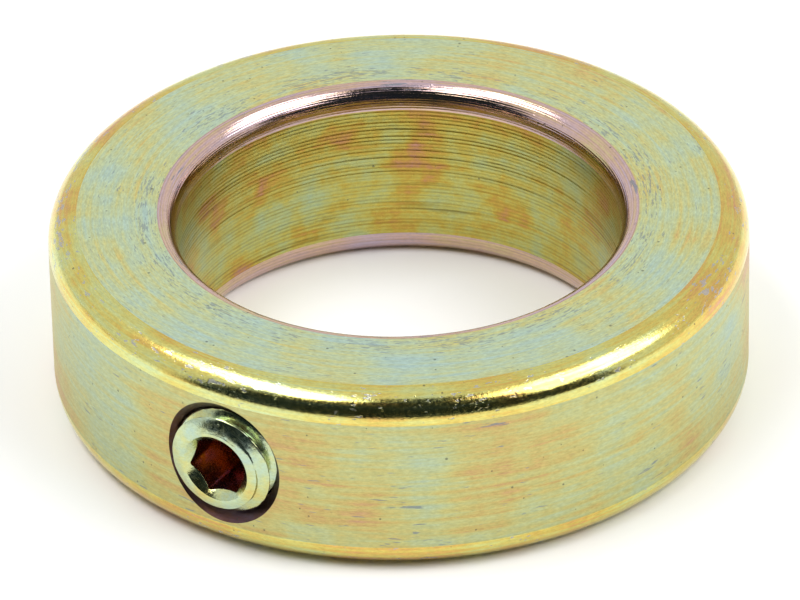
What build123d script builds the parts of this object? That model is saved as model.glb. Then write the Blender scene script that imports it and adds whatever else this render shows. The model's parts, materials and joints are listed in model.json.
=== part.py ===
from build123d import *
import math
import os

# Set collar for a 40 mm shaft, with one M10 x 12 cone-point set screw.
# Lengths are in millimetres. The origin is the centre of the bore at mid-width, +Z runs
# along the bore and the set screw lies along -Y, so a distance along the screw is also
# its distance from the bore's axis.

# ---- ring ----
bore_diameter = 40.0
outer_diameter = 63.0
ring_width = 18.0
corner_radius = 2.6  # the outer corners are full quarter rounds
mouth_reach = 1.65  # the bore mouths are oval rounds: their reach over the end face
mouth_depth = 2.3  # and their depth down the bore

# ---- thread, M10 coarse ----
thread_diameter = 10.0
thread_pitch = 1.5
thread_angle = 60.0
flank_play = 0.052  # each flank, of screw and of hole, stands back this far along the axis
crest_play = 0.07  # screw crests and hole roots stand this far off the true diameter
root_play = 0.17  # the screw's root lies this far inside the hole's crests
ridge_sink = 0.1  # a ridge starts this far inside the core that carries it

# ---- threaded hole ----
countersink_spread = 1.15  # the countersink is this much wider than the thread, each side
countersink_angle = 90.0
countersink_overrun = 2.0  # the cutter's cone goes on this far outside the ring

# ---- set screw ----
screw_length = 12.0
tip_clearance = 0.5  # the point stands this far back from the shaft until it is tightened
point_angle = 90.0
point_flat_diameter = 2.5
end_cone_angle = 120.0  # the socket end falls away to the thread as a blunt cone
end_face_width = 0.3  # flat ring left between that cone and the socket's mouth
outline_overrun = 1.0  # the screw's end cones go on this far past the thread's crests
socket_across_flats = 5.0
socket_depth = 5.0
socket_lead_in = 0.35  # chamfer at the socket's mouth, past the hexagon's corners
socket_turn = 11.4  # degrees that the hexagon is turned from the ring's middle plane
drill_diameter = 4.9
drill_depth = 5.6  # the hole drilled ahead of the hexagon, without its cone
drill_angle = 118.0

# ---- worked out from the sizes above ----
bore_radius = bore_diameter / 2
outer_radius = outer_diameter / 2
half_width = ring_width / 2

flank_slope = math.tan(math.radians(thread_angle / 2))
sharp_height = thread_pitch / (2 * flank_slope)
pitch_radius = thread_diameter / 2 - sharp_height * 3 / 8
hole_crest_radius = (thread_diameter - thread_pitch) / 2  # the tap drill's radius
hole_root_radius = thread_diameter / 2 + crest_play
screw_crest_radius = thread_diameter / 2 - crest_play
screw_root_radius = hole_crest_radius - root_play

# Both ridges are counted in whole turns from this place, a little inside the bore's
# wall, so that the screw's ridge lies in the middle of the hole's groove.
thread_datum = math.floor(bore_radius / thread_pitch) * thread_pitch - thread_pitch

screw_tip = bore_radius + tip_clearance
screw_face = screw_tip + screw_length
point_slope = math.tan(math.radians(point_angle / 2))
point_flat_radius = point_flat_diameter / 2
point_base = screw_tip + (screw_root_radius - point_flat_radius) / point_slope
outline_radius = screw_crest_radius + outline_overrun
socket_corner_radius = socket_across_flats / math.sqrt(3)
socket_mouth_radius = socket_corner_radius + socket_lead_in
end_face_radius = socket_mouth_radius + end_face_width
end_cone_depth = (outline_radius - end_face_radius) / math.tan(math.radians(end_cone_angle / 2))
drill_radius = drill_diameter / 2
drill_cone_depth = drill_radius / math.tan(math.radians(drill_angle / 2))


def threaded_rod(core_radius, crest_radius, play, end):
    """A round core with one thread ridge on it, around Z, with the datum at z = 0.

    The ridge runs from the datum past the end, and the core a turn further each way.
    """
    inner_radius = core_radius - ridge_sink
    length = math.ceil((end - thread_datum) / thread_pitch) * thread_pitch

    def half_thickness(radius):
        return thread_pitch / 4 + play + (pitch_radius - radius) * flank_slope

    with BuildPart() as ridge:
        with BuildLine() as path:
            Helix(thread_pitch, length, pitch_radius)
        with BuildSketch(Plane.XZ):
            with BuildLine():
                Polyline(
                    (inner_radius, -half_thickness(inner_radius)),
                    (crest_radius, -half_thickness(crest_radius)),
                    (crest_radius, half_thickness(crest_radius)),
                    (inner_radius, half_thickness(inner_radius)),
                    close=True,
                )
            make_face()
        sweep(path=path.wires()[0], is_frenet=True)

    with BuildPart() as rod:
        with BuildSketch(Plane.XY.offset(-thread_pitch)):
            Circle(core_radius)
        extrude(amount=length + 2 * thread_pitch)
        add(ridge.part)
    return rod.part


# ---- ring: turned section, then the countersunk and tapped cross hole ----
tap = threaded_rod(
    hole_crest_radius, hole_root_radius, flank_play, outer_radius + thread_pitch
)
countersink_radius = thread_diameter / 2 + countersink_spread
countersink_slope = math.tan(math.radians(countersink_angle / 2))
countersink_tip = outer_radius - countersink_radius / countersink_slope
countersink_end = outer_radius + countersink_overrun

with BuildPart() as collar_ring:
    with BuildSketch(Plane.XZ):
        with BuildLine():
            Line((bore_radius, 0), (bore_radius, half_width - mouth_depth))
            EllipticalCenterArc(
                (bore_radius + mouth_reach, half_width - mouth_depth),
                x_radius=mouth_reach,
                y_radius=mouth_depth,
                start_angle=90,
                arc_size=90,
            )
            Line(
                (bore_radius + mouth_reach, half_width),
                (outer_radius - corner_radius, half_width),
            )
            RadiusArc(
                (outer_radius - corner_radius, half_width),
                (outer_radius, half_width - corner_radius),
                corner_radius,
            )
            Line((outer_radius, half_width - corner_radius), (outer_radius, 0))
            mirror(about=Plane.XZ)
        make_face()
    revolve(axis=Axis.Z)
    with Locations(Plane.XZ.offset(thread_datum)):
        add(tap, mode=Mode.SUBTRACT)
    with BuildSketch(Plane.XY):
        with BuildLine():
            Polyline(
                (0, -countersink_tip),
                ((countersink_end - countersink_tip) * countersink_slope, -countersink_end),
                (0, -countersink_end),
                close=True,
            )
        make_face()
    revolve(axis=Axis.Y, mode=Mode.SUBTRACT)

# ---- set screw ----
# The screw is one piece of steel. It stands here as two: the plain cone point, which
# only moves along the axis, and the threaded length, which also turns.
rolled_rod = threaded_rod(screw_root_radius, screw_crest_radius, -flank_play, screw_face)

with BuildPart() as set_screw:
    with Locations(Plane.XZ.offset(thread_datum)):
        add(rolled_rod)
    with BuildSketch(Plane.XY):
        with BuildLine():
            Polyline(
                (0, -point_base),
                (screw_root_radius, -point_base),
                (outline_radius, -point_base - (outline_radius - screw_root_radius) / point_slope),
                (outline_radius, -screw_face + end_cone_depth),
                (end_face_radius, -screw_face),
                (0, -screw_face),
                close=True,
            )
        make_face()
    revolve(axis=Axis.Y, mode=Mode.INTERSECT)
    with BuildSketch(Plane.XZ.offset(screw_face)):
        RegularPolygon(socket_corner_radius, 6, rotation=socket_turn)
    extrude(amount=-socket_depth, mode=Mode.SUBTRACT)
    with BuildSketch(Plane.XY):
        with BuildLine():
            Polyline(
                (0, -screw_face),
                (socket_mouth_radius, -screw_face),
                (drill_radius, -screw_face + socket_mouth_radius - drill_radius),
                (drill_radius, -screw_face + drill_depth),
                (0, -screw_face + drill_depth + drill_cone_depth),
                close=True,
            )
        make_face()
    revolve(axis=Axis.Y, mode=Mode.SUBTRACT)

with BuildPart() as set_screw_point:
    with BuildSketch(Plane.XY):
        with BuildLine():
            Polyline(
                (0, -screw_tip),
                (point_flat_radius, -screw_tip),
                (screw_root_radius, -point_base),
                (0, -point_base),
                close=True,
            )
        make_face()
    revolve(axis=Axis.Y)

collar_ring.part.label = "collar_ring"
set_screw.part.label = "set_screw"
set_screw_point.part.label = "set_screw_point"

os.makedirs("parts", exist_ok=True)
export_step(collar_ring.part, "parts/collar_ring.step")
export_step(set_screw.part, "parts/set_screw.step")
export_step(set_screw_point.part, "parts/set_screw_point.step")
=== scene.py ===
"""Looks of a set collar: a turned, yellow-chromated ring and its cone-point set screw.

Lengths inside this file are in millimetres unless a name says otherwise, and the meshes are
scaled to metres when they are made. The bore runs along Z and the set screw lies along -Y.
"""

import json
import logging
import math
from dataclasses import dataclass
from enum import Enum
from typing import Any, Sequence

import bmesh
import bpy
import numpy as np
from mathutils import Matrix, Vector


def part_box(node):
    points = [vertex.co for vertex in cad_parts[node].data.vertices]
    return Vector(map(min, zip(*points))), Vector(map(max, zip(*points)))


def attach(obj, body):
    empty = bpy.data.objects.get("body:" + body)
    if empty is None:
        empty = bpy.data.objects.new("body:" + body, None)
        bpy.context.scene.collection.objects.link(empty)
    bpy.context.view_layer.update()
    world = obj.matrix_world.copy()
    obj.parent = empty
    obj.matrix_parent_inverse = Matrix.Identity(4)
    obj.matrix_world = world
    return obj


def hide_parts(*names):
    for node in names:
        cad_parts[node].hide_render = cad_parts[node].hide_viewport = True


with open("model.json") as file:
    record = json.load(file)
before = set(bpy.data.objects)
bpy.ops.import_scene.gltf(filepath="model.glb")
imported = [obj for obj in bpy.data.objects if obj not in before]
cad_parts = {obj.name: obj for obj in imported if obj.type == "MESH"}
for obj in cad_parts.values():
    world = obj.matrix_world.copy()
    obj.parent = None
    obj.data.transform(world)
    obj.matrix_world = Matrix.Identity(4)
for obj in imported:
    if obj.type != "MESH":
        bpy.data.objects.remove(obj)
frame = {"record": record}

log = logging.getLogger("set_collar")

MM = 0.001
TURN = 2 * math.pi
SHARP_ANGLE = 34.0  # degrees; flatter edges are shaded smooth
WELD_REACH = 0.0005 * MM
SLIVER_REACH = 0.0002 * MM

Colour = tuple[float, float, float]
Point = tuple[float, float]


# ---------------------------------------------------------------- shapes


class Finish(Enum):
    """The surfaces that are finished differently, some of them also with painted shade, in the order of
    their material slots.
    """

    FACE = "faced_end"
    CORNER = "formed_corner"
    SIDE = "turned_side"
    MOUTH = "formed_mouth"
    BORE = "bored_wall"
    THREAD = "tapped_hole"
    SCREW = "rolled_screw"
    SOCKET = "broached_socket"


def fillet(points: Sequence[Point], radii: Sequence[float], steps: int = 4) -> np.ndarray:
    """Rounds the inner corners of an open outline.

    Args:
        points: The outline's corners.
        radii: A radius for each corner; the first and last are not used.
        steps: Pieces in each rounded corner.

    Returns:
        The new outline, with the same number of points for the same radii.
    """
    out = [np.array(points[0])]
    for before, corner, after, radius in zip(points, points[1:], points[2:], radii[1:]):
        here = np.array(corner)
        back, on = np.array(before) - here, np.array(after) - here
        back, on = back / np.linalg.norm(back), on / np.linalg.norm(on)
        if radius <= 0:
            out.append(here)
            continue
        half = math.acos(float(np.clip(back @ on, -1, 1))) / 2
        reach = radius / math.tan(half)
        for t in np.linspace(0, 1, steps + 1):
            near, far = here + back * reach * (1 - t), here + on * reach * t
            out.append(near + (far - near) * t)
    out.append(np.array(points[-1]))
    return np.array(out)


def quarter_oval(side: Point, end: Point, steps: int) -> np.ndarray:
    """Points on a quarter of an oval, from where it meets a wall to where it meets an end face.

    Args:
        side: Its end on the wall, where it runs along the axis.
        end: Its end on the face, where it runs across the axis.
        steps: Pieces in the quarter.

    Returns:
        The points, both ends included.
    """
    turn = np.linspace(0, math.pi / 2, steps + 1)
    across = side[0] + (end[0] - side[0]) * (1 - np.cos(turn))
    along = side[1] + (end[1] - side[1]) * np.sin(turn)
    return np.stack([across, along], axis=1)


def line(start: Point, end: Point, step: float) -> np.ndarray:
    """Points on a straight line.

    Args:
        start: Its first end.
        end: Its last end.
        step: The most that the points are apart.

    Returns:
        The points, both ends included.
    """
    length = math.dist(start, end)
    count = max(1, math.ceil(length / step))
    return np.linspace(start, end, count + 1)


def tool_marks(places: np.ndarray, pitch: float, depth: float, seed: int) -> np.ndarray:
    """Depth of the grooves that a turning tool leaves, at places along its feed.

    Args:
        places: Distances along the feed.
        pitch: Feed for each turn.
        depth: Depth of an average groove.
        seed: Chooses the uneven depths of the grooves.

    Returns:
        Depths, from 0 down to about twice the average.
    """
    turn = (places - places.min()) / pitch
    uneven = np.random.default_rng(seed).uniform(0.2, 1.9, int(turn.max()) + 2)
    cusp = np.sin(np.pi * (turn % 1.0))
    return depth * uneven[turn.astype(int)] * cusp


def close_grid(
    name: str,
    grid: np.ndarray,
    strips: Sequence[int],
    slots: Sequence[bpy.types.Material],
    ends_meet: bool,
) -> bpy.types.Object:
    """Makes a closed smooth mesh from a grid whose columns go round an axis.

    Args:
        name: The object's name.
        grid: Places in millimetres, rows x columns x 3.
        strips: The material slot of each strip of faces, from a row to the next.
        slots: The object's materials.
        ends_meet: True if the last row joins the first; if not, the first and last rows
            are points on the axis.

    Returns:
        The object, linked into the scene.
    """
    rows, columns, _ = grid.shape
    index = np.arange(rows * columns).reshape(rows, columns)
    following = np.roll(index, -1, axis=1)
    above = np.roll(index, -1, axis=0), np.roll(following, -1, axis=0)
    quads = np.stack([index, above[0], above[1], following], axis=2)
    if not ends_meet:
        quads = quads[:-1]
    faces = quads.reshape(-1, 4)
    mesh = bpy.data.meshes.new(name)
    mesh.from_pydata((grid.reshape(-1, 3) * MM).tolist(), [], faces.tolist())
    mesh.polygons.foreach_set("material_index", np.repeat(strips, columns).astype(np.int32))
    for material in slots:
        mesh.materials.append(material)
    piece = bpy.data.objects.new(name, mesh)
    bpy.context.scene.collection.objects.link(piece)
    if not ends_meet:
        weld(piece)
    return piece


def weld(piece: bpy.types.Object) -> None:
    """Joins the points of a mesh that lie in one place, such as a row at the axis.

    Args:
        piece: The object, whose faces are turned outwards too.
    """
    work = bmesh.new()
    work.from_mesh(piece.data)
    bmesh.ops.remove_doubles(work, verts=work.verts, dist=WELD_REACH)
    bmesh.ops.dissolve_degenerate(work, edges=work.edges, dist=SLIVER_REACH)
    bmesh.ops.recalc_face_normals(work, faces=work.faces)
    work.to_mesh(piece.data)
    work.free()


def smooth(piece: bpy.types.Object) -> None:
    """Shades a mesh smooth, apart from its sharp edges."""
    piece.data.polygons.foreach_set("use_smooth", [True] * len(piece.data.polygons))
    piece.data.set_sharp_from_angle(angle=math.radians(SHARP_ANGLE))


def cut(piece: bpy.types.Object, cutter: bpy.types.Object) -> None:
    """Takes the cutter's solid out of the piece, and removes the cutter.

    Args:
        piece: The object that is cut.
        cutter: The closed solid that is taken out.
    """
    boolean = piece.modifiers.new("cross_hole", "BOOLEAN")
    boolean.operation = "DIFFERENCE"
    boolean.solver = "MANIFOLD"
    boolean.object = cutter
    graph = bpy.context.evaluated_depsgraph_get()
    result = bpy.data.meshes.new_from_object(piece.evaluated_get(graph))
    piece.modifiers.clear()
    old, piece.data = piece.data, result
    bpy.data.meshes.remove(old)
    bpy.data.meshes.remove(cutter.data)


@dataclass(frozen=True)
class Thread:
    """A metric coarse thread, wound around -Y with its ridges at whole pitches from the bore."""

    diameter: float = 10.0
    pitch: float = 1.5
    angle: float = 60.0
    play: float = 0.05

    @property
    def pitch_radius(self) -> float:
        """Radius where ridge and groove are equally wide."""
        sharp_height = self.pitch / 2 / math.tan(math.radians(self.angle / 2))
        return self.diameter / 2 - sharp_height * 3 / 8

    def ridge(self, along: np.ndarray, around: np.ndarray, play: float) -> np.ndarray:
        """Radius of the thread's flanks, if they were sharp at crest and root.

        Args:
            along: Distances from the bore's axis.
            around: Angles from +X towards +Z.
            play: How much thicker the ridge is on each flank.

        Returns:
            The radii.
        """
        phase = along / self.pitch - around / TURN
        away = np.abs(phase - np.round(phase)) * self.pitch
        slope = math.tan(math.radians(self.angle / 2))
        return self.pitch_radius + (self.pitch / 4 + play - away) / slope


def soft_limit(values: np.ndarray, low: float, high: float, blend: float) -> np.ndarray:
    """Holds values between two limits, rounding over the places where they meet them.

    Args:
        values: What is limited.
        low: The lower limit.
        high: The upper limit.
        blend: Size of the rounding.

    Returns:
        The limited values.
    """
    gap = values - low
    raised = low + (gap + np.sqrt(gap**2 + blend**2)) / 2
    gap = high - raised
    return high - (gap + np.sqrt(gap**2 + blend**2)) / 2


def around_screw(radius: np.ndarray, along: np.ndarray, around: np.ndarray) -> np.ndarray:
    """Places round the screw's axis.

    Args:
        radius: Distances from that axis.
        along: Distances from the bore's axis.
        around: Angles from +X towards +Z.

    Returns:
        The places, X, Y and Z last.
    """
    return np.stack(
        [radius * np.cos(around), -along, radius * np.sin(around)],
        axis=-1,
    )


# ---------------------------------------------------------------- shader graphs


class Graph:
    """Adds and links the nodes of a material, a world or a node group."""

    def __init__(self, tree: bpy.types.NodeTree) -> None:
        """Starts on an empty tree."""
        self.tree = tree
        tree.nodes.clear()

    def add(self, kind: str, **settings: Any) -> bpy.types.Node:
        """Adds a node.

        Args:
            kind: The node's type, without the leading ShaderNode.
            settings: Properties of the node.

        Returns:
            The node.
        """
        node = self.tree.nodes.new(kind if kind.startswith("Node") else f"ShaderNode{kind}")
        for name, value in settings.items():
            setattr(node, name, value)
        return node

    def put(self, value: Any, socket: bpy.types.NodeSocket) -> None:
        """Links an output to a socket, or sets the socket if the value is a number or colour.

        Args:
            value: An output, a number or a colour.
            socket: The input that gets it.
        """
        if isinstance(value, bpy.types.NodeSocket):
            self.tree.links.new(value, socket)
        elif isinstance(value, (tuple, list)) and len(socket.default_value) == 4:
            socket.default_value = (*value[:3], 1.0)
        else:
            socket.default_value = value

    def math(self, operation: str, *values: Any, clamp: bool = False) -> bpy.types.NodeSocket:
        """Adds a Math node and returns its result.

        Args:
            operation: The Math node's operation.
            values: Its inputs, numbers or outputs.
            clamp: True to hold the result between 0 and 1.

        Returns:
            The result's socket.
        """
        node = self.add("Math", operation=operation, use_clamp=clamp)
        for value, socket in zip(values, node.inputs):
            self.put(value, socket)
        return node.outputs[0]

    def times(self, *values: Any) -> bpy.types.NodeSocket:
        """The product of two values."""
        return self.math("MULTIPLY", *values)

    def plus(self, *values: Any, clamp: bool = False) -> bpy.types.NodeSocket:
        """The sum of two values, held between 0 and 1 if clamp is True."""
        return self.math("ADD", *values, clamp=clamp)

    def minus(self, *values: Any) -> bpy.types.NodeSocket:
        """The first value less the second."""
        return self.math("SUBTRACT", *values)

    def over(self, *values: Any) -> bpy.types.NodeSocket:
        """The first value divided by the second."""
        return self.math("DIVIDE", *values)

    def remap(
        self, value: Any, low: Any, high: Any, to_low: Any = 0.0, to_high: Any = 1.0
    ) -> bpy.types.NodeSocket:
        """Maps a value from one range to another, smoothly and held at the ends.

        Args:
            value: What is mapped.
            low: Start of its range.
            high: End of its range.
            to_low: Result at the start.
            to_high: Result at the end.

        Returns:
            The result's socket.
        """
        node = self.add("MapRange", interpolation_type="SMOOTHSTEP")
        for item, socket in zip((value, low, high, to_low, to_high), node.inputs):
            self.put(item, socket)
        return node.outputs[0]

    def mix(self, factor: Any, first: Any, second: Any, blend: str = "MIX") -> bpy.types.NodeSocket:
        """Mixes two colours.

        Args:
            factor: Share of the second colour.
            first: A colour or an output.
            second: A colour or an output.
            blend: The way that the two are mixed.

        Returns:
            The mixed colour's socket.
        """
        node = self.add("Mix", data_type="RGBA", blend_type=blend)
        self.put(factor, node.inputs["Factor"])
        self.put(first, node.inputs[6])
        self.put(second, node.inputs[7])
        return node.outputs[2]

    def vector(self, x: Any, y: Any, z: Any) -> bpy.types.NodeSocket:
        """Joins three values into a vector.

        Args:
            x: The first value.
            y: The second value.
            z: The third value.

        Returns:
            The vector's socket.
        """
        node = self.add("CombineXYZ")
        for value, socket in zip((x, y, z), node.inputs):
            self.put(value, socket)
        return node.outputs[0]

    def noise(self, place: Any, w: Any, detail: float, rough: float = 0.5) -> bpy.types.NodeSocket:
        """A four-dimensional noise at a scale of 1, from about 0.2 to 0.8.

        Args:
            place: Its first three coordinates.
            w: Its fourth coordinate.
            detail: Number of finer layers.
            rough: Strength of the finer layers.

        Returns:
            The noise's socket.
        """
        node = self.add("TexNoise", noise_dimensions="4D")
        self.put(place, node.inputs["Vector"])
        self.put(w, node.inputs["W"])
        self.put(1.0, node.inputs["Scale"])
        self.put(detail, node.inputs["Detail"])
        self.put(rough, node.inputs["Roughness"])
        return node.outputs[0]


def new_group(name: str, numbers: dict[str, float], results: dict[str, str]) -> tuple[Graph, Any, Any]:
    """Starts a shader node group.

    Args:
        name: The group's name.
        numbers: Its inputs, with their default values.
        results: Its outputs, with their socket types.

    Returns:
        The graph, the inputs' sockets and the outputs' sockets.
    """
    tree = bpy.data.node_groups.new(name, "ShaderNodeTree")
    for label, value in numbers.items():
        socket = tree.interface.new_socket(label, in_out="INPUT", socket_type="NodeSocketFloat")
        socket.default_value = value
    for label, kind in results.items():
        tree.interface.new_socket(label, in_out="OUTPUT", socket_type=kind)
    graph = Graph(tree)
    return graph, graph.add("NodeGroupInput").outputs, graph.add("NodeGroupOutput").inputs


def place_in_mm(graph: Graph) -> tuple[Any, Any, Any]:
    """Where the shaded point is on the object.

    Args:
        graph: The graph that the nodes go into.

    Returns:
        Its X, Y and Z in millimetres.
    """
    apart = graph.add("SeparateXYZ")
    graph.put(graph.add("TexCoord").outputs["Object"], apart.inputs[0])
    return tuple(graph.times(out, 1 / MM) for out in apart.outputs)


def radius_in_mm(graph: Graph, x: Any, y: Any) -> bpy.types.NodeSocket:
    """Distance from the bore's axis, in millimetres."""
    return graph.math("SQRT", graph.plus(graph.times(x, x), graph.times(y, y)))


class SharedEffects:
    """The node groups that the finishes share, each built once."""

    streak_run = 14.0  # lengths in mm over which the effects change
    speck_size = 0.16
    speck_run = 0.5
    swing_run = 16.0
    scuff_patch = 5.0
    scuff_limit = 0.78  # noise above this is a mark, less what brings it nearer
    scuff_ease = 0.12
    scuff_edge_ease = 0.11
    scuff_patch_ease = 0.35
    scuff_softness = 0.05

    def __init__(self) -> None:
        """Builds the groups."""
        self.film = self.build_film()
        self.lathe = self.build_lathe_lines()
        self.scuffs = self.build_scuffs()
        self.grain = self.build_grain()
        self.pits = self.build_pits()

    def build_film(self) -> bpy.types.NodeTree:
        """Colour of the chromate film, whose thickness drifts over the surface.

        Returns:
            The group, with the film's Colour.
        """
        graph, given, out = new_group(
            "chromate_film",
            {
                "Thickness": 0.3, "Drift": 0.3, "Patch Size": 9.0, "Streaks": 0.15,
                "Streak Width": 0.5, "Speckle": 0.1, "Lean": 0.0, "Depth": 1.0, "Light": 1.0,
                "Seed": 0.0,
            },
            {"Colour": "NodeSocketColor"},
        )
        x, y, z = place_in_mm(graph)
        radius = radius_in_mm(graph, x, y)
        size = given["Patch Size"]
        place = graph.vector(*(graph.over(v, size) for v in (x, y, z)))
        patches = graph.noise(place, given["Seed"], 5.0, 0.6)
        width = given["Streak Width"]
        lines = graph.vector(
            graph.over(radius, width), graph.over(z, width), graph.over(x, self.streak_run)
        )
        streaks = graph.noise(lines, graph.plus(graph.over(y, self.streak_run), given["Seed"]), 3.0, 0.6)
        drift = graph.times(graph.minus(patches, 0.5), graph.times(given["Drift"], 3.0))
        waver = graph.times(graph.minus(streaks, 0.5), graph.times(given["Streaks"], 3.0))
        lean = graph.times(graph.times(y, 0.03), given["Lean"])
        base = graph.plus(given["Thickness"], lean)
        thickness = graph.plus(graph.plus(base, drift), waver, clamp=True)
        ramp = graph.add("ValToRGB")
        ramp.color_ramp.interpolation = "B_SPLINE"
        stops = FILM_COLOURS
        while len(ramp.color_ramp.elements) < len(stops):
            ramp.color_ramp.elements.new(0.5)
        for element, (position, colour) in zip(ramp.color_ramp.elements, stops):
            element.position = position
            element.color = (*colour, 1.0)
        graph.put(thickness, ramp.inputs[0])
        fine = graph.vector(
            graph.over(radius, self.speck_size),
            graph.over(z, self.speck_size),
            graph.over(x, self.speck_run),
        )
        specks = graph.noise(fine, graph.over(y, self.speck_run), 2.0, 0.7)
        uneven = graph.times(graph.minus(specks, 0.5), graph.times(given["Speckle"], 4.0))
        tone = graph.add("HueSaturation")
        graph.put(given["Depth"], tone.inputs["Saturation"])
        # Light scales the colour's brightness, which some finishes lower as painted shade.
        graph.put(graph.times(given["Light"], graph.plus(1.0, uneven)), tone.inputs["Value"])
        graph.put(ramp.outputs[0], tone.inputs["Color"])
        graph.put(tone.outputs[0], out["Colour"])
        return graph.tree

    def build_lathe_lines(self) -> bpy.types.NodeTree:
        """Fine lines that run round the bore's axis, as a turning tool leaves them.

        Returns:
            The group, with the lines' Height and a mask of the few Deep ones.
        """
        graph, given, out = new_group(
            "lathe_lines",
            {"Spacing": 0.3, "Run": 12.0, "Feed": 0.38, "Seed": 0.0},
            {"Height": "NodeSocketFloat", "Deep": "NodeSocketFloat", "Groove": "NodeSocketFloat"},
        )
        x, y, z = place_in_mm(graph)
        radius = radius_in_mm(graph, x, y)
        gap, run = given["Spacing"], given["Run"]

        def lines(share: float, shift: float) -> Any:
            """Noise that changes quickly across the lines and slowly along them.

            Args:
                share: Width of the lines, as a share of the spacing.
                shift: Added to the seed.

            Returns:
                The noise's socket.
            """
            wide = graph.times(gap, share)
            across = graph.vector(graph.over(radius, wide), graph.over(z, wide), graph.over(x, run))
            along = graph.plus(graph.over(y, run), graph.plus(given["Seed"], shift))
            return graph.noise(across, along, 2.0, 0.65)

        graph.put(lines(1.0, 0.0), out["Height"])
        graph.put(graph.remap(lines(2.2, 5.0), 0.6, 0.68), out["Deep"])
        turns = graph.over(graph.plus(z, radius), given["Feed"])
        wave = graph.math("COSINE", graph.times(turns, TURN))
        slow = (graph.over(v, self.swing_run) for v in (x, y))
        uneven = graph.noise(graph.vector(turns, *slow), 3.0, 2.0)
        swing = graph.remap(uneven, 0.3, 0.7, 0.15, 1.0)
        graph.put(graph.times(graph.plus(graph.times(wave, 0.5), 0.5), swing), out["Groove"])
        return graph.tree

    def build_scuffs(self) -> bpy.types.NodeTree:
        """Short handling marks along the turning direction, and nicks, thicker near an edge.

        Returns:
            The group, with a mask of the marks.
        """
        graph, given, out = new_group(
            "handling_marks",
            {
                "Amount": 0.5, "Length": 2.6, "Width": 0.3, "Edge Radius": 21.5,
                "Edge Reach": 2.0, "Seed": 0.0,
            },
            {"Mask": "NodeSocketFloat"},
        )
        x, y, z = place_in_mm(graph)
        radius = radius_in_mm(graph, x, y)
        width, length = given["Width"], given["Length"]
        across = graph.vector(graph.over(radius, width), graph.over(z, width), graph.over(x, length))
        marks = graph.noise(across, graph.plus(graph.over(y, length), given["Seed"]), 2.0, 0.6)
        patch = graph.vector(*(graph.over(v, self.scuff_patch) for v in (x, y, z)))
        patches = graph.noise(patch, given["Seed"], 1.0)
        off = graph.math("ABSOLUTE", graph.minus(radius, given["Edge Radius"]))
        near = graph.remap(off, 0.0, given["Edge Reach"], 1.0, 0.0)
        patchy = graph.times(graph.minus(patches, 0.5), self.scuff_patch_ease)
        ease = graph.plus(graph.times(near, self.scuff_edge_ease), patchy)
        amount = graph.times(given["Amount"], self.scuff_ease)
        limit = graph.minus(graph.minus(self.scuff_limit, amount), ease)
        top = graph.plus(limit, self.scuff_softness)
        graph.put(graph.remap(marks, limit, top), out["Mask"])
        return graph.tree

    def build_grain(self) -> bpy.types.NodeTree:
        """The fine uneven grain of plated steel.

        Returns:
            The group, with the grain's Height.
        """
        graph, given, out = new_group(
            "plating_grain", {"Size": 0.12, "Seed": 0.0}, {"Height": "NodeSocketFloat"}
        )
        x, y, z = place_in_mm(graph)
        place = graph.vector(*(graph.over(v, given["Size"]) for v in (x, y, z)))
        graph.put(graph.noise(place, given["Seed"], 2.0, 0.6), out["Height"])
        return graph.tree

    def build_pits(self) -> bpy.types.NodeTree:
        """Scattered small pits and dark specks.

        Returns:
            The group, with a mask of the pits.
        """
        graph, given, out = new_group(
            "pits", {"Spacing": 1.2, "Size": 0.16, "Share": 0.5}, {"Mask": "NodeSocketFloat"}
        )
        x, y, z = place_in_mm(graph)
        cells = graph.add("TexVoronoi", voronoi_dimensions="3D", feature="F1")
        place = graph.vector(*(graph.over(v, given["Spacing"]) for v in (x, y, z)))
        graph.put(place, cells.inputs["Vector"])
        graph.put(1.0, cells.inputs["Scale"])
        away = graph.times(cells.outputs["Distance"], given["Spacing"])
        chance = graph.add("SeparateColor")
        graph.put(cells.outputs["Color"], chance.inputs[0])
        size = graph.times(given["Size"], graph.plus(0.5, chance.outputs[1]))
        spot = graph.remap(away, graph.times(size, 0.6), size, 1.0, 0.0)
        chosen = graph.math("LESS_THAN", chance.outputs[0], given["Share"])
        graph.put(graph.times(spot, chosen), out["Mask"])
        return graph.tree


def srgb(red: int, green: int, blue: int) -> Colour:
    """A colour given as it looks on a screen, as the shaders need it.

    Args:
        red: Red, 0 to 255.
        green: Green, 0 to 255.
        blue: Blue, 0 to 255.

    Returns:
        The linear colour.
    """

    def linear(v: float) -> float:
        """One channel."""
        v /= 255
        return v / 12.92 if v <= 0.04045 else ((v + 0.055) / 1.055) ** 2.4

    return (linear(red), linear(green), linear(blue))


# Colours of a yellow chromate film as it grows thicker, from the thinnest.
FILM_COLOURS: tuple[tuple[float, Colour], ...] = (
    (0.00, srgb(178, 205, 200)),
    (0.18, srgb(190, 210, 184)),
    (0.36, srgb(202, 210, 156)),
    (0.52, srgb(214, 204, 128)),
    (0.66, srgb(214, 178, 116)),
    (0.80, srgb(214, 164, 150)),
    (1.00, srgb(196, 178, 206)),
)


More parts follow.
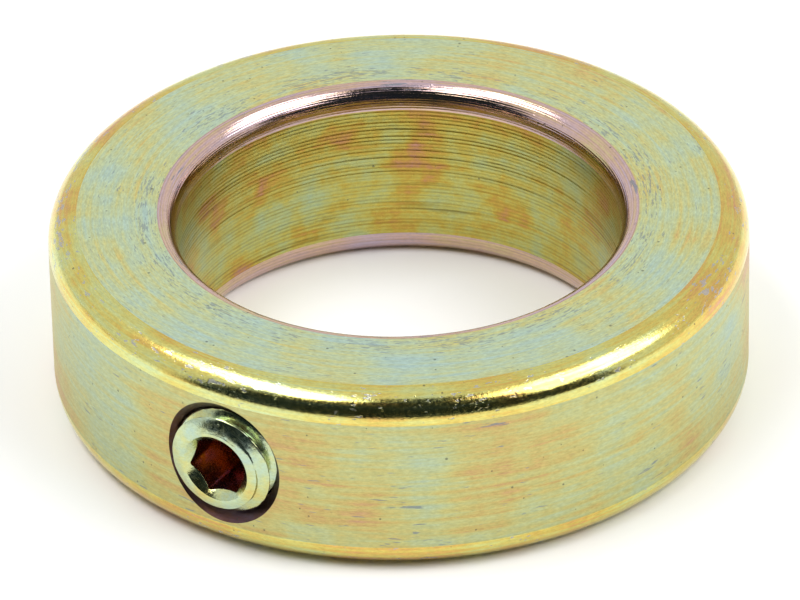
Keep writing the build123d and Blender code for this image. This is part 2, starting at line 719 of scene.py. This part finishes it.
@dataclass(frozen=True)
class ChromateFinish:
    """Yellow-chromated steel as one kind of tool left it; its light and groove shade settings add
    painted shade.
    """

    name: str
    thickness: float
    drift: float
    patch_size: float = 9.0
    streaks: float = 0.12
    streak_width: float = 0.5
    speckle: float = 0.12
    lean: float = 0.0
    scuff_cover: float = 0.7
    depth: float = 1.0
    # Brightness of the film colour; on the turned side, the bored wall, the tapped hole and the socket
    # it is lowered as painted shade.
    light: float = 1.0
    roughness: float = 0.4
    roughness_spread: float = 0.15
    line_spacing: float = 0.3
    line_height: float = 0.006
    deep_height: float = 0.0
    deep_shade: float = 0.0
    feed: float = 0.38
    groove_shade: float = 0.0
    groove_height: float = 0.0
    # Dark olive mixed into the deep lines and feed grooves: painted shade in the grooves.
    groove_shade_colour: Colour = srgb(92, 78, 34)
    grain_size: float = 0.12
    grain_height: float = 0.002
    scuff_amount: float = 0.0
    scuff_length: float = 2.6
    scuff_width: float = 0.3
    scuff_edge: float = 21.5
    scuff_reach: float = 2.0
    scuff_colour: Colour = srgb(128, 138, 150)
    scuff_roughness: float = 0.1
    scuff_depth: float = 0.006
    pit_spacing: float = 1.0
    pit_size: float = 0.11
    pit_share: float = 0.4
    pit_colour: Colour = srgb(70, 74, 74)
    pit_cover: float = 0.6
    pit_depth: float = 0.01
    metallic: float = 1.0
    seed: float = 0.0

    def build(self, effects: SharedEffects) -> bpy.types.Material:
        """Makes the material.

        Args:
            effects: The shared node groups.

        Returns:
            The material.
        """
        material = bpy.data.materials.new(self.name)
        material.use_nodes = True
        graph = Graph(material.node_tree)

        def effect(tree: bpy.types.NodeTree, **values: float) -> Any:
            """Places a shared group.

            Args:
                tree: The group.
                values: Its inputs, with _ for a space.

            Returns:
                Its outputs.
            """
            node = graph.add("Group", node_tree=tree)
            for label, value in values.items():
                node.inputs[label.replace("_", " ")].default_value = value
            return node.outputs

        film = effect(
            effects.film, Thickness=self.thickness, Drift=self.drift, Patch_Size=self.patch_size,
            Streaks=self.streaks, Streak_Width=self.streak_width, Speckle=self.speckle,
            Lean=self.lean, Depth=self.depth, Light=self.light, Seed=self.seed,
        )["Colour"]
        lines = effect(effects.lathe, Spacing=self.line_spacing, Feed=self.feed, Seed=self.seed)
        grain = effect(effects.grain, Size=self.grain_size, Seed=self.seed)["Height"]
        scuffs = effect(
            effects.scuffs, Amount=self.scuff_amount, Length=self.scuff_length, Width=self.scuff_width,
            Edge_Radius=self.scuff_edge, Edge_Reach=self.scuff_reach, Seed=self.seed,
        )["Mask"]
        worn = graph.times(scuffs, 1.0 if self.scuff_amount > 0 else 0.0)
        pits = effect(
            effects.pits, Spacing=self.pit_spacing, Size=self.pit_size, Share=self.pit_share
        )["Mask"]

        shader = graph.add("BsdfPrincipled")
        # The film colour is darkened towards a dark olive along the deep lines and feed grooves: painted
        # shade in the grooves.
        shade = graph.times(lines["Deep"], self.deep_shade)
        shade = graph.plus(shade, graph.times(lines["Groove"], self.groove_shade), clamp=True)
        colour = graph.mix(shade, film, self.groove_shade_colour)
        colour = graph.mix(graph.times(worn, self.scuff_cover), colour, self.scuff_colour)
        colour = graph.mix(graph.times(pits, self.pit_cover), colour, self.pit_colour)
        graph.put(colour, shader.inputs["Base Color"])
        graph.put(self.metallic, shader.inputs["Metallic"])
        spread = self.roughness_spread / 2
        rough = graph.remap(grain, 0.25, 0.75, self.roughness - spread, self.roughness + spread)
        rough = graph.plus(rough, graph.times(worn, self.scuff_roughness), clamp=True)
        graph.put(rough, shader.inputs["Roughness"])

        height = graph.times(lines["Height"], self.line_height)
        height = graph.plus(height, graph.times(grain, self.grain_height))
        height = graph.minus(height, graph.times(lines["Groove"], self.groove_height))
        height = graph.minus(height, graph.times(lines["Deep"], self.deep_height))
        height = graph.minus(height, graph.times(worn, self.scuff_depth))
        height = graph.minus(height, graph.times(pits, self.pit_depth))
        bump = graph.add("Bump")
        graph.put(height, bump.inputs["Height"])
        graph.put(MM, bump.inputs["Distance"])
        graph.put(bump.outputs[0], shader.inputs["Normal"])
        output = graph.add("OutputMaterial")
        graph.put(shader.outputs[0], output.inputs[0])
        return material


FINISHES: dict[Finish, ChromateFinish] = {
    Finish.FACE: ChromateFinish(
        "faced_end", thickness=0.33, drift=0.42, patch_size=8.0, streaks=0.26, streak_width=0.45,
        speckle=0.2, lean=0.08, roughness=0.4, line_spacing=0.22, line_height=0.02, scuff_amount=1.0,
        scuff_length=1.1, scuff_width=0.18, scuff_cover=0.6, scuff_edge=22.8, scuff_reach=2.4,
        seed=1.0, groove_shade=0.05, feed=0.6,
    ),
    Finish.CORNER: ChromateFinish(
        "formed_corner", thickness=0.53, drift=0.3, streaks=0.22, streak_width=0.35, depth=1.15,
        speckle=0.16, roughness=0.17, roughness_spread=0.12, line_spacing=0.25, line_height=0.006,
        grain_size=0.26, grain_height=0.011, scuff_amount=0.8, scuff_length=0.9, scuff_width=0.35,
        scuff_edge=30.4, scuff_reach=1.6, scuff_colour=srgb(170, 174, 184), seed=2.0,
    ),
    # The turned side's colour is dimmed (light 0.79): painted shade on the side of the ring.
    Finish.SIDE: ChromateFinish(
        "turned_side", thickness=0.47, drift=0.44, patch_size=12.0, streaks=0.24, streak_width=0.5,
        speckle=0.16, lean=0.04, light=0.79, roughness=0.42, line_spacing=0.2, line_height=0.014,
        scuff_amount=0.1, scuff_edge=31.5, scuff_reach=0.1, seed=3.0, groove_shade=0.06, feed=0.7,
    ),
    Finish.MOUTH: ChromateFinish(
        "formed_mouth", thickness=0.78, drift=0.26, streaks=0.3, streak_width=0.25, depth=0.75,
        roughness=0.14, roughness_spread=0.1, line_spacing=0.2, line_height=0.03,
        grain_size=0.25, grain_height=0.008, scuff_amount=0.3, seed=4.0, groove_shade=0.25,
        groove_height=0.01, feed=0.3,
    ),
    # The bored wall's colour is dimmed (light 0.77): painted shade inside the bore.
    Finish.BORE: ChromateFinish(
        "bored_wall", thickness=0.52, drift=0.46, patch_size=5.0, streaks=0.14, streak_width=0.4,
        depth=1.22, light=0.77, roughness=0.32, line_spacing=0.3, line_height=0.01,
        deep_height=0.01, deep_shade=0.3, pit_share=0.1, seed=5.0, groove_shade=0.42, groove_height=0.02,
    ),
    # The tapped hole's colour is dimmed to a fifth (light 0.2): painted shade deep in the hole round the
    # screw.
    Finish.THREAD: ChromateFinish(
        "tapped_hole", thickness=0.8, drift=0.3, depth=1.3, light=0.2, roughness=0.35,
        grain_size=0.3, grain_height=0.03, seed=6.0,
    ),
    Finish.SCREW: ChromateFinish(
        "rolled_screw", thickness=0.33, drift=0.44, patch_size=3.0, depth=1.05, light=0.88,
        roughness=0.18, roughness_spread=0.14, line_height=0.0, grain_size=0.3, grain_height=0.014,
        seed=7.0,
    ),
    # The socket's colour is dimmed (light 0.62): painted shade inside the hexagon recess.
    Finish.SOCKET: ChromateFinish(
        "broached_socket", thickness=0.8, drift=0.34, patch_size=3.0, depth=1.5, light=0.62,
        roughness=0.24, line_height=0.0, grain_height=0.004, seed=8.0,
    ),
}


# ---------------------------------------------------------------- pieces

# Grooves of the turning tool: the axis it feeds along (0 across, 1 along the bore), their
# pitch and depth, and which way out of the steel is across.
TOOL_MARKS: dict[Finish, tuple[int, float, float, float]] = {
    Finish.BORE: (1, 0.38, 0.018, -1.0),
    Finish.FACE: (0, 2.0, 0.004, 0.0),
    Finish.SIDE: (1, 2.0, 0.004, 1.0),
}


@dataclass
class TurnedRing:
    """The ring: a turned section round the bore, with a countersunk and tapped cross hole."""

    bore_radius: float
    outer_radius: float
    half_width: float
    thread: Thread
    corner_radius: float = 2.6
    mouth_reach: float = 1.65
    mouth_depth: float = 2.3
    countersink_radius: float = 6.15
    columns: int = 300
    hole_columns: int = 96
    hole_step: float = 0.11
    hole_overrun: tuple[float, float] = (3.0, 2.0)
    hole_root_play: float = 0.07
    hole_crest_rounding: float = 0.03
    bore_step: float = 0.095
    flat_step: float = 0.5
    mouth_steps: int = 20
    corner_steps: int = 18

    def upper_section(self) -> list[tuple[Finish, np.ndarray]]:
        """The upper half of the section, from the middle of the bore out to the outside.

        Returns:
            Stretches of the outline, each with its finish.
        """
        bore_end = (self.bore_radius, self.half_width - self.mouth_depth)
        face_start = (self.bore_radius + self.mouth_reach, self.half_width)
        face_end = (self.outer_radius - self.corner_radius, self.half_width)
        side_end = (self.outer_radius, self.half_width - self.corner_radius)
        return [
            (Finish.BORE, line((self.bore_radius, 0.0), bore_end, self.bore_step)),
            (Finish.MOUTH, quarter_oval(bore_end, face_start, self.mouth_steps)),
            (Finish.FACE, line(face_start, face_end, self.flat_step)),
            (Finish.CORNER, quarter_oval(side_end, face_end, self.corner_steps)[::-1]),
            (Finish.SIDE, line(side_end, (self.outer_radius, 0.0), self.flat_step)),
        ]

    def section(self) -> tuple[np.ndarray, list[int]]:
        """The whole closed section.

        Returns:
            The outline's points, and the material slot of the strip after each.
        """
        kinds = list(Finish)
        points: list[np.ndarray] = []
        strips: list[int] = []
        upper = self.upper_section()
        lower = [(kind, stretch[::-1] * (1, -1)) for kind, stretch in reversed(upper)]
        for kind, stretch in upper + lower:
            points.append(self.marked(kind, stretch)[:-1])
            strips += [kinds.index(kind)] * (len(stretch) - 1)
        return np.concatenate(points), strips

    def marked(self, kind: Finish, stretch: np.ndarray) -> np.ndarray:
        """Cuts the grooves of a turning tool into a stretch.

        Args:
            kind: The stretch's finish.
            stretch: Its points.

        Returns:
            The points, unchanged if the finish has no grooves.
        """
        if kind not in TOOL_MARKS:
            return stretch
        axis, pitch, depth, outwards = TOOL_MARKS[kind]
        grooves = tool_marks(stretch[:, axis], pitch, depth, seed=len(stretch))
        grooves[0] = grooves[-1] = 0.0
        cut_in = stretch.copy()
        if kind is Finish.FACE:
            cut_in[:, 1] -= np.sign(stretch[:, 1]) * grooves
        else:
            cut_in[:, 0] -= outwards * grooves
        return cut_in

    def build(self, slots: Sequence[bpy.types.Material]) -> bpy.types.Object:
        """Makes the ring.

        Args:
            slots: A material for each finish.

        Returns:
            The ring.
        """
        outline, strips = self.section()
        around = np.arange(self.columns) * TURN / self.columns
        radius = np.repeat(outline[:, 0, None], self.columns, axis=1)
        height = np.repeat(outline[:, 1, None], self.columns, axis=1)
        grid = np.stack([radius * np.cos(around), radius * np.sin(around), height], axis=-1)
        ring = close_grid("turned_ring", grid, strips, slots, ends_meet=True)
        cut(ring, self.build_tap(slots))
        smooth(ring)
        return ring

    def build_tap(self, slots: Sequence[bpy.types.Material]) -> bpy.types.Object:
        """Makes the solid that the countersunk and tapped hole is cut with.

        Args:
            slots: A material for each finish.

        Returns:
            The solid.
        """
        inner_end = self.bore_radius - self.hole_overrun[0]
        outer_end = self.outer_radius + self.hole_overrun[1]
        rows = np.linspace(inner_end, outer_end, math.ceil((outer_end - inner_end) / self.hole_step))
        around = np.arange(self.hole_columns) * TURN / self.hole_columns
        along, angle = np.meshgrid(rows, around, indexing="ij")
        crest = (self.thread.diameter - self.thread.pitch) / 2
        root = self.thread.diameter / 2 + self.hole_root_play
        flanks = self.thread.ridge(along, angle, self.thread.play)
        radius = soft_limit(flanks, crest, root, self.hole_crest_rounding)
        cone = self.countersink_radius + along - self.outer_radius
        radius = np.maximum(radius, cone)
        grid = around_screw(radius, along, angle)
        ends = (inner_end, outer_end)
        caps = [np.repeat([[[0.0, -end, 0.0]]], self.hole_columns, axis=1) for end in ends]
        grid = np.concatenate([caps[0], grid, caps[1]])
        strips = [list(Finish).index(Finish.THREAD)] * (len(grid) - 1)
        return close_grid("tap", grid, strips, slots, ends_meet=False)


@dataclass
class SetScrew:
    """The headless set screw: cone point, rolled thread and hexagon socket, in one piece."""

    face: float
    tip: float
    thread: Thread
    point_flat_radius: float = 1.25
    end_cone_angle: float = 120.0
    end_face_width: float = 0.3
    rim_rounding: float = 0.14
    crown_power: float = 1.6
    across_flats: float = 5.0
    socket_depth: float = 5.0
    socket_lead_in: float = 0.35
    socket_turn: float = 11.4
    corner_rounding: float = 0.06
    drill_radius: float = 2.45
    drill_depth: float = 5.6
    drill_cone: float = 1.47
    drill_play: float = 0.05
    edge: float = 0.06
    crest_play: float = 0.03
    root_play: float = 0.17
    crest_rounding: float = 0.04
    lip_rounding: float = 0.05
    lip_rows: int = 12
    columns: int = 120
    row_step: float = 0.055

    @property
    def crest_radius(self) -> float:
        """Radius over the thread's crests."""
        return self.thread.diameter / 2 - self.crest_play

    @property
    def mouth_radius(self) -> float:
        """Radius of the socket's chamfered mouth."""
        return self.across_flats / math.sqrt(3) + self.socket_lead_in

    @property
    def end_face_radius(self) -> float:
        """Outer radius of the narrow flat ring at the socket end."""
        return self.mouth_radius + self.end_face_width

    @property
    def end_slope(self) -> float:
        """How fast the socket end's cone widens along the axis."""
        return math.tan(math.radians(self.end_cone_angle / 2))

    @property
    def rim_place(self) -> float:
        """Where the socket end's cone reaches the crests."""
        return self.face - (self.crest_radius - self.end_face_radius) / self.end_slope

    def outside(self, around: np.ndarray) -> np.ndarray:
        """Radius and distance of the rows from the point to the socket end.

        Args:
            around: The columns' angles.

        Returns:
            Rows x columns x 2.
        """
        rim = self.face - self.edge / self.end_slope
        rows = np.linspace(self.tip, rim, math.ceil((self.face - self.tip) / self.row_step))
        along, angle = np.meshgrid(rows, around, indexing="ij")
        root = (self.thread.diameter - self.thread.pitch) / 2 - self.root_play
        flanks = self.thread.ridge(along, angle, -self.thread.play)
        radius = soft_limit(flanks, root, self.crest_radius, self.crest_rounding)
        radius = np.minimum(radius, self.point_flat_radius + along - self.tip)
        fall = (self.face - along) / (self.face - self.rim_place)
        spread = self.crest_radius - self.end_face_radius + self.rim_rounding
        crown = self.end_face_radius + spread * (1 - np.clip(1 - fall, 0, 1) ** self.crown_power)
        gap = crown + np.clip(fall - 1, 0, None) - radius
        blend = self.rim_rounding * np.clip(fall * 3, 0, 1)
        radius = radius + gap / 2 - np.sqrt(gap**2 + blend**2) / 2
        return np.stack([radius, along], axis=-1)

    def inside(self, angle: float) -> np.ndarray:
        """One column's outline from the end face into the socket and down to its middle.

        Args:
            angle: The column's angle.

        Returns:
            Points of radius and distance.
        """
        side = (angle - math.radians(self.socket_turn)) % (TURN / 6) - TURN / 12
        corner = self.across_flats / math.sqrt(3)
        wall = min(self.across_flats / 2 / math.cos(side), corner - self.corner_rounding)
        mouth, rim = self.mouth_radius, self.end_face_radius
        return fillet(
            [
                (rim + self.edge, self.face - self.edge / self.end_slope),
                (rim, self.face),
                (mouth, self.face),
                (wall, self.face - (mouth - wall)),
                (wall, self.face - self.socket_depth),
                (self.drill_radius - self.drill_play, self.face - self.socket_depth),
                (self.drill_radius - self.drill_play, self.face - self.drill_depth),
                (0.0, self.face - self.drill_depth - self.drill_cone),
            ],
            [0.0] + [self.lip_rounding] * 3 + [0.0] * 4,
            steps=3,
        )

    def build(self, slots: Sequence[bpy.types.Material]) -> bpy.types.Object:
        """Makes the screw.

        Args:
            slots: A material for each finish.

        Returns:
            The screw.
        """
        around = math.radians(self.socket_turn) + np.arange(self.columns) * TURN / self.columns
        outside = self.outside(around)
        inside = np.stack([self.inside(float(a)) for a in around], axis=1)[1:]
        middle = np.repeat([[[0.0, self.tip]]], self.columns, axis=1)
        rows = np.concatenate([middle, outside, inside])
        grid = around_screw(rows[..., 0], rows[..., 1], around[None, :])
        kinds = list(Finish)
        shell = len(outside) + self.lip_rows
        strips = [kinds.index(Finish.SCREW)] * shell
        strips += [kinds.index(Finish.SOCKET)] * (len(rows) - 1 - shell)
        screw = close_grid("cone_point_screw", grid, strips, slots, ends_meet=False)
        smooth(screw)
        return screw


# ---------------------------------------------------------------- studio


def direction(azimuth: float, elevation: float) -> Vector:
    """The way from the collar at two angles.

    Args:
        azimuth: Degrees round from the set screw's side.
        elevation: Degrees up.

    Returns:
        A vector of length 1.
    """
    turn, rise = math.radians(azimuth), math.radians(elevation)
    return Vector(
        (math.sin(turn) * math.cos(rise), -math.cos(turn) * math.cos(rise), math.sin(rise))
    )


@dataclass(frozen=True)
class Camera:
    """The camera, aimed at the middle of the collar."""

    azimuth: float = 30.48
    elevation: float = 33.1
    roll: float = -1.23
    distance: float = 721.0
    lens: float = 359.3
    shift_y: float = -0.0127

    def build(self) -> bpy.types.Object:
        """Makes the camera and sets it as the scene's camera.

        Returns:
            The camera.
        """
        data = bpy.data.cameras.new("camera")
        data.lens = self.lens
        data.sensor_width = 36.0
        data.shift_y = self.shift_y
        data.clip_start, data.clip_end = 0.01, 20.0
        camera = bpy.data.objects.new("camera", data)
        bpy.context.scene.collection.objects.link(camera)
        back = direction(self.azimuth, self.elevation)
        roll = Matrix.Rotation(math.radians(self.roll), 3, "Z")
        turn = (-back).to_track_quat("-Z", "Y").to_matrix() @ roll
        camera.matrix_world = Matrix.Translation(back * self.distance * MM) @ turn.to_4x4()
        bpy.context.scene.camera = camera
        return camera


@dataclass(frozen=True)
class Softbox:
    """A square soft light, placed by its direction from the collar."""

    name: str
    azimuth: float
    elevation: float
    distance: float
    width: float
    height: float
    power: float

    def build(self, towards: float) -> None:
        """Makes the light.

        Args:
            towards: The camera's azimuth, which the light's is counted from.
        """
        data = bpy.data.lights.new(self.name, "AREA")
        data.shape = "RECTANGLE"
        data.size, data.size_y = self.width, self.height
        data.energy = self.power
        lamp = bpy.data.objects.new(self.name, data)
        bpy.context.scene.collection.objects.link(lamp)
        back = direction(self.azimuth + towards, self.elevation)
        lamp.location = back * self.distance
        lamp.rotation_mode = "QUATERNION"
        lamp.rotation_quaternion = (-back).to_track_quat("-Z", "Y")


@dataclass
class Studio:
    """A pale floor, a white backdrop that is dark above and in front, and softboxes."""

    camera: Camera
    floor_height: float
    floor_reach: float = 6.0
    canopy_edge: float = 77.0
    canopy_narrowing: float = 0.35
    bright: Colour = (0.88, 0.88, 0.88)
    dark: Colour = (0.014, 0.022, 0.028)
    softboxes: Sequence[Softbox] = (
        Softbox("left_softbox", -72.0, 64.0, 1.0, 0.8, 0.34, 5.2),
        Softbox("right_softbox", 70.0, 47.0, 1.0, 0.8, 0.6, 6.0),
    )

    def build(self) -> None:
        """Makes everything around the object."""
        self.camera.build()
        for softbox in self.softboxes:
            softbox.build(self.camera.azimuth)
        self.build_floor()
        self.build_world()
        bpy.context.scene.view_settings.view_transform = "Standard"

    def build_floor(self) -> None:
        """Makes the plain pale floor that the collar lies on."""
        half = self.floor_reach
        mesh = bpy.data.meshes.new("floor")
        corners = [(-half, -half, 0), (half, -half, 0), (half, half, 0), (-half, half, 0)]
        mesh.from_pydata(corners, [], [(0, 1, 2, 3)])
        floor = bpy.data.objects.new("floor", mesh)
        floor.location.z = self.floor_height
        bpy.context.scene.collection.objects.link(floor)
        material = bpy.data.materials.new("pale_floor")
        material.use_nodes = True
        shader = material.node_tree.nodes["Principled BSDF"]
        shader.inputs["Base Color"].default_value = (0.95, 0.95, 0.95, 1.0)
        shader.inputs["Roughness"].default_value = 0.9
        shader.inputs["Specular IOR Level"].default_value = 0.1
        mesh.materials.append(material)

    def build_world(self) -> None:
        """Makes the surroundings: bright behind the collar, dark above it and in front."""
        world = bpy.data.worlds.new("studio")
        bpy.context.scene.world = world
        world.use_nodes = True
        graph = Graph(world.node_tree)
        azimuth = math.radians(self.camera.azimuth)
        apart = graph.add("SeparateXYZ")
        graph.put(graph.add("TexCoord").outputs["Generated"], apart.inputs[0])
        x, y, z = apart.outputs
        towards = graph.minus(
            graph.times(x, math.sin(azimuth)),
            graph.times(y, math.cos(azimuth)),
        )
        sideways = graph.plus(
            graph.times(x, math.cos(azimuth)),
            graph.times(y, math.sin(azimuth)),
        )
        narrowing = graph.times(graph.math("ABSOLUTE", sideways), self.canopy_narrowing)
        edge = math.radians(self.canopy_edge)
        lit = graph.minus(
            graph.times(z, math.cos(edge)),
            graph.times(graph.minus(towards, narrowing), math.sin(edge)),
        )
        strength = graph.remap(lit, -0.05, 0.05)
        background = graph.add("Background")
        graph.put(graph.mix(strength, self.dark, self.bright), background.inputs["Color"])
        graph.put(1.0, background.inputs["Strength"])
        output = graph.add("OutputWorld")
        graph.put(background.outputs[0], output.inputs[0])


# ---------------------------------------------------------------- everything


def mount_radius(name: str) -> float:
    """Radius of one of the record's round mounts.

    Args:
        name: The mount's name.

    Returns:
        The radius in millimetres.
    """
    mount = next(m for m in frame["record"]["mounts"] if m["name"] == name)
    return mount["dims"]["r_mm"]


def main() -> None:
    """Builds the collar and the studio."""
    logging.basicConfig(level=logging.INFO, format="%(name)s: %(message)s")
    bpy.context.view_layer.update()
    ring_low, ring_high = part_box("collar_ring")
    body_low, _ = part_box("set_screw")
    _, point_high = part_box("set_screw_point")

    effects = SharedEffects()
    slots = [FINISHES[kind].build(effects) for kind in Finish]
    thread = Thread()

    ring = TurnedRing(
        bore_radius=mount_radius("shaft_bore"),
        outer_radius=ring_high[0] / MM,
        half_width=(ring_high[2] - ring_low[2]) / 2 / MM,
        thread=thread,
    ).build(slots)
    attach(ring, "ring")
    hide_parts("collar_ring")
    log.info("%s: %d faces", ring.name, len(ring.data.polygons))

    screw = SetScrew(face=-body_low[1] / MM, tip=-point_high[1] / MM, thread=thread).build(slots)
    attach(screw, "screw")
    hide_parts("set_screw", "set_screw_point")
    log.info("%s: %d faces", screw.name, len(screw.data.polygons))

    Studio(camera=Camera(), floor_height=ring_low[2]).build()


if __name__ == "__main__":
    main()
